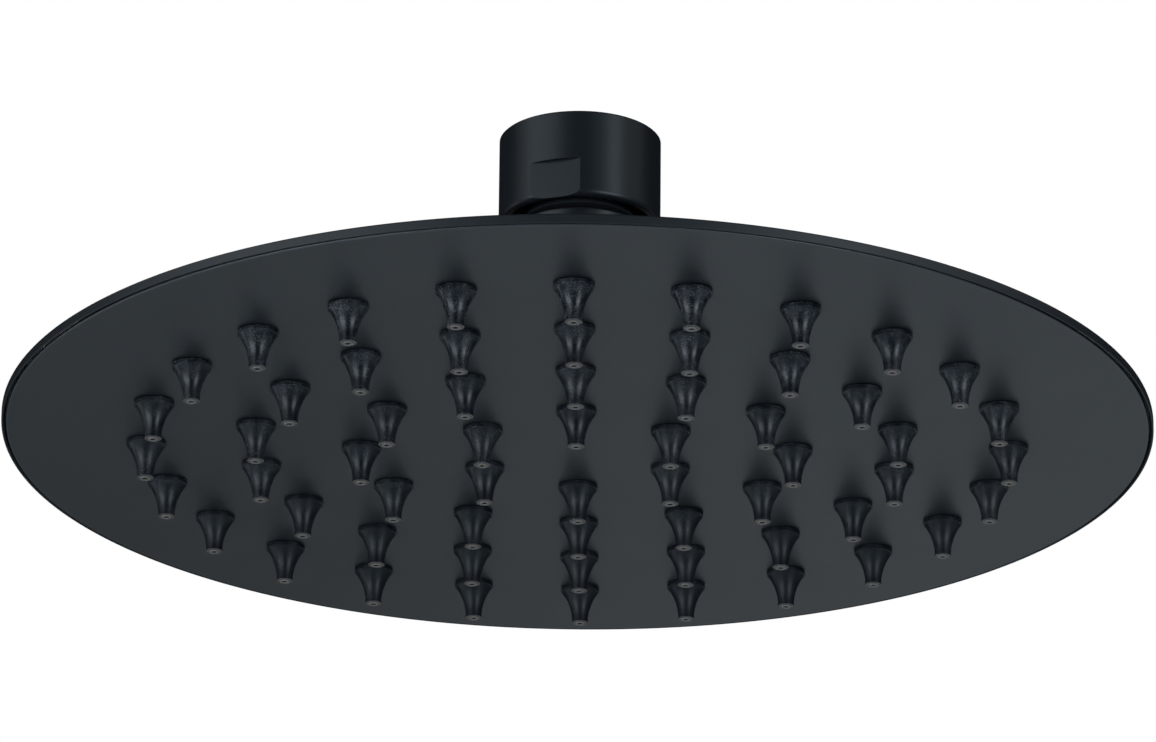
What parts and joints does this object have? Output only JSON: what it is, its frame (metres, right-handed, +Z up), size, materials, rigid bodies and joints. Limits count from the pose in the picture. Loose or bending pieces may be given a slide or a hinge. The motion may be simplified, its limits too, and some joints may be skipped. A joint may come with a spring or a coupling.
{
  "type": "rain shower head",
  "caption": "Slim round overhead rain shower head with rings of flared silicone nozzles, a bell-shaped back and a ball-joint swivel nut with a female pipe thread.",
  "frame": {"origin": "centre of the swivel nut's mouth, on the plane of its top face, where the shower arm goes in", "axes": "+Z up along the thread, out of the mouth towards the arm; the head hangs level below, and a nozzle of each ring stands on the -Y side"},
  "size_m": [0.2, 0.2, 0.0648],
  "materials": {
    "nut_paint": "matt black paint on brass",
    "hub_paint": "matt black paint on brass",
    "head_paint": "matt black paint on stainless steel sheet",
    "face_paint": "fine satin black paint on stainless steel sheet",
    "nozzle_silicone": "black silicone with a dusty bloom",
    "washer_rubber": "black rubber",
    "seal_rubber": "black nitrile rubber",
    "screen_steel": "perforated stainless steel",
    "seat_plastic": "natural acetal",
    "liner_plastic": "black acetal",
    "stem_brass": "turned brass, blackened",
    "limiter_plastic": "natural acetal",
    "sheet_steel": "bare stainless steel"
  },
  "bodies": {
    "nut": {"swivel_nut": "nut_paint", "inlet_washer": "washer_rubber", "filter_screen": "screen_steel"},
    "seat": {"ball_seat": "seat_plastic", "seat_o_ring": "seal_rubber"},
    "liner": {"ball_liner": "liner_plastic"},
    "head": {"ball_stem": "stem_brass", "stem_o_ring": "seal_rubber", "neck_hub": "hub_paint", "limiter_body": "limiter_plastic", "limiter_ring": "seal_rubber", "bell": "head_paint", "hub_gasket": "seal_rubber", "hub_nut": "stem_brass", "back_plate": "head_paint", "face_plate": "face_paint", "edge_ring": "sheet_steel", "plate_studs": "sheet_steel", "nozzle_ring_1": "nozzle_silicone", "nozzle_ring_2": "nozzle_silicone", "nozzle_ring_3": "nozzle_silicone", "nozzle_ring_4": "nozzle_silicone"}
  },
  "joints": [
    {"name": "swivel_turn", "type": "hinge", "parent": "nut", "child": "seat", "pos_m": [0, 0, -0.0127], "axis": [0, 0, 1], "continuous": true},
    {"name": "tilt_x", "type": "hinge", "parent": "seat", "child": "liner", "pos_m": [0, 0, -0.0127], "axis": [1, 0, 0], "range_deg": [-10, 10]},
    {"name": "tilt_y", "type": "hinge", "parent": "liner", "child": "head", "pos_m": [0, 0, -0.0127], "axis": [0, 1, 0], "range_deg": [-10, 10]}
  ]
}
